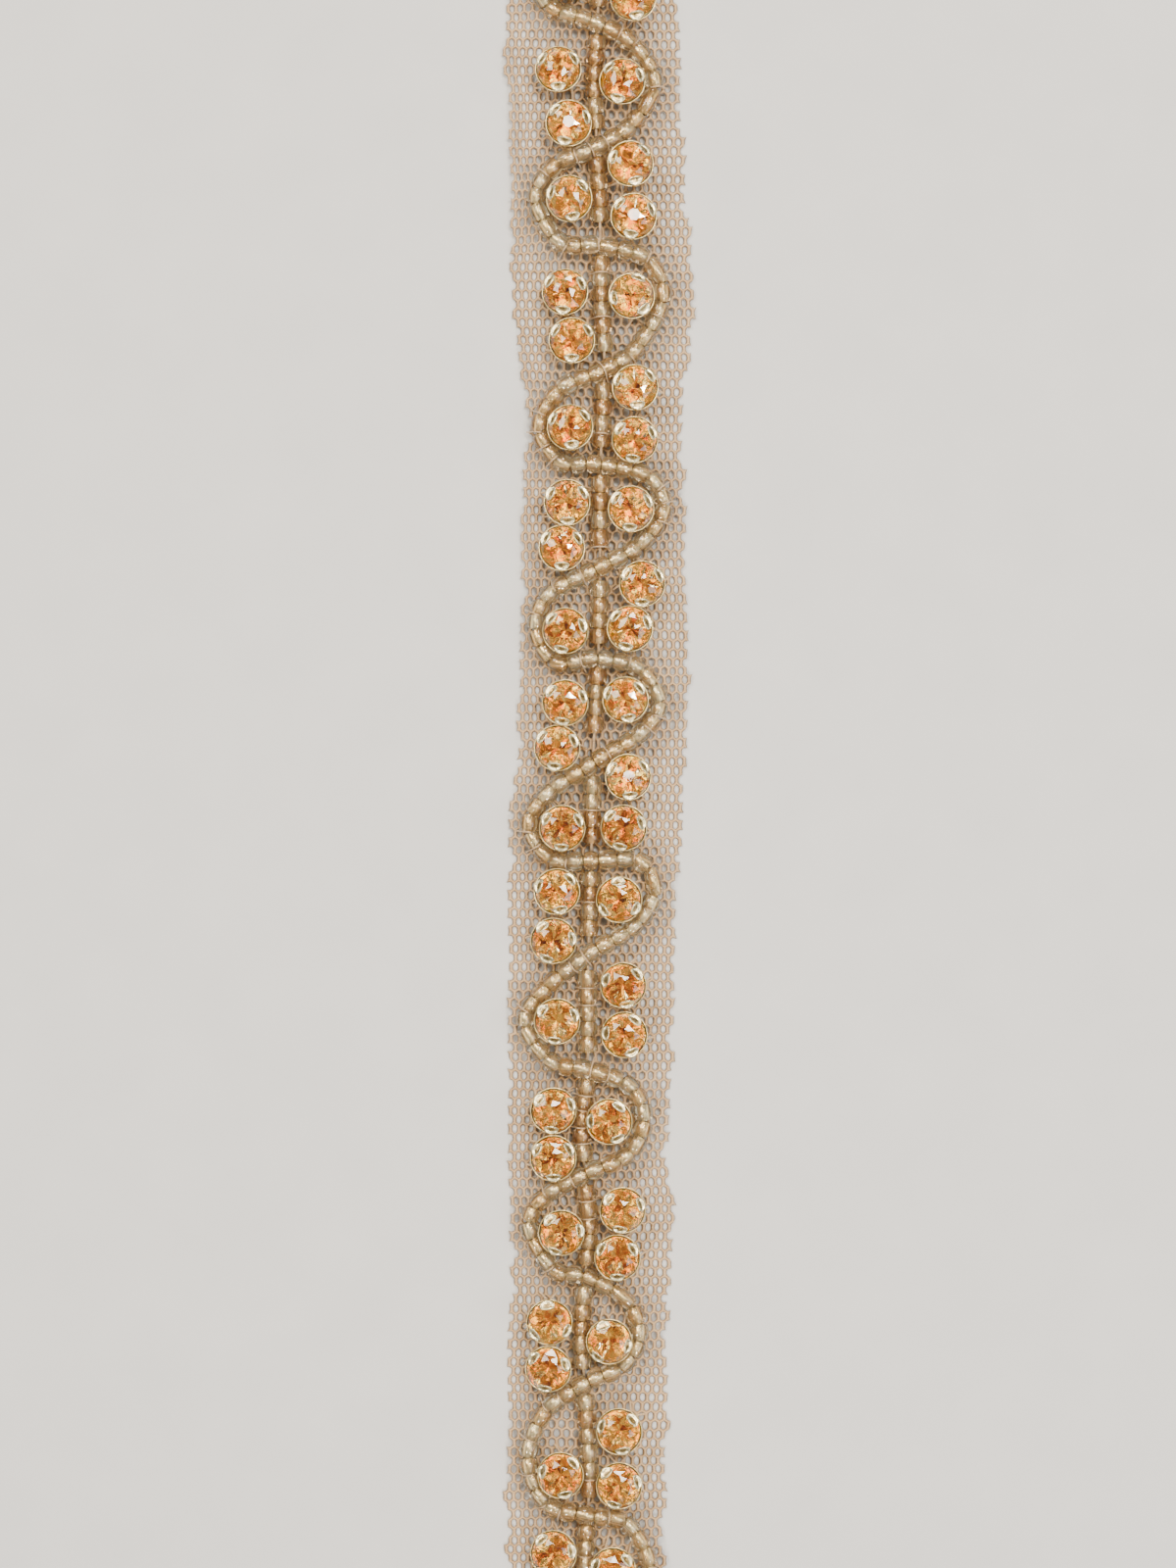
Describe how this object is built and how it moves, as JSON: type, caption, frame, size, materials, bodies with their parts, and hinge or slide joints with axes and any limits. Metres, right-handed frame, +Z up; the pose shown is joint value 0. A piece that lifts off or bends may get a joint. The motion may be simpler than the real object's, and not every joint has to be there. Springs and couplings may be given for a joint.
{
  "type": "crystal beaded trim",
  "caption": "Cut length of net ribbon sewn with a middle row of seed beads, a winding row that crosses it, and round crystals in claw settings on both sides.",
  "frame": {"origin": "under the middle of the trim's box, on the plane that the net lies on", "axes": "X across the trim, +Y along it towards the end at the top of the picture, +Z up out of the beaded face"},
  "size_m": [0.0196, 0.172, 0.0043],
  "materials": {
    "net": "matte nude net",
    "seed_beads": "champagne glass with a bright lined hole",
    "crystal": "faceted peach crystal",
    "setting": "polished pale gold cup and claws",
    "thread": "fine beige sewing thread"
  },
  "bodies": {
    "root": {"net_ribbon": "net", "spine_beads": "seed_beads", "winding_beads": "seed_beads", "stone_left_01": "crystal", "stone_left_02": "crystal", "stone_left_03": "crystal", "stone_left_04": "crystal", "stone_left_05": "crystal", "stone_left_06": "crystal", "stone_left_07": "crystal", "stone_left_08": "crystal", "stone_left_09": "crystal", "stone_left_10": "crystal", "stone_left_11": "crystal", "stone_left_12": "crystal", "stone_left_13": "crystal", "stone_left_14": "crystal", "stone_left_15": "crystal", "stone_left_16": "crystal", "stone_left_17": "crystal", "stone_left_18": "crystal", "stone_left_19": "crystal", "stone_left_20": "crystal", "stone_left_21": "crystal", "stone_left_22": "crystal", "stone_left_23": "crystal", "stone_left_24": "crystal", "stone_right_01": "crystal", "stone_right_02": "crystal", "stone_right_03": "crystal", "stone_right_04": "crystal", "stone_right_05": "crystal", "stone_right_06": "crystal", "stone_right_07": "crystal", "stone_right_08": "crystal", "stone_right_09": "crystal", "stone_right_10": "crystal", "stone_right_11": "crystal", "stone_right_12": "crystal", "stone_right_13": "crystal", "stone_right_14": "crystal", "stone_right_15": "crystal", "stone_right_16": "crystal", "stone_right_17": "crystal", "stone_right_18": "crystal", "stone_right_19": "crystal", "stone_right_20": "crystal", "stone_right_21": "crystal", "stone_right_22": "crystal", "stone_right_23": "crystal"}
  },
  "joints": []
}
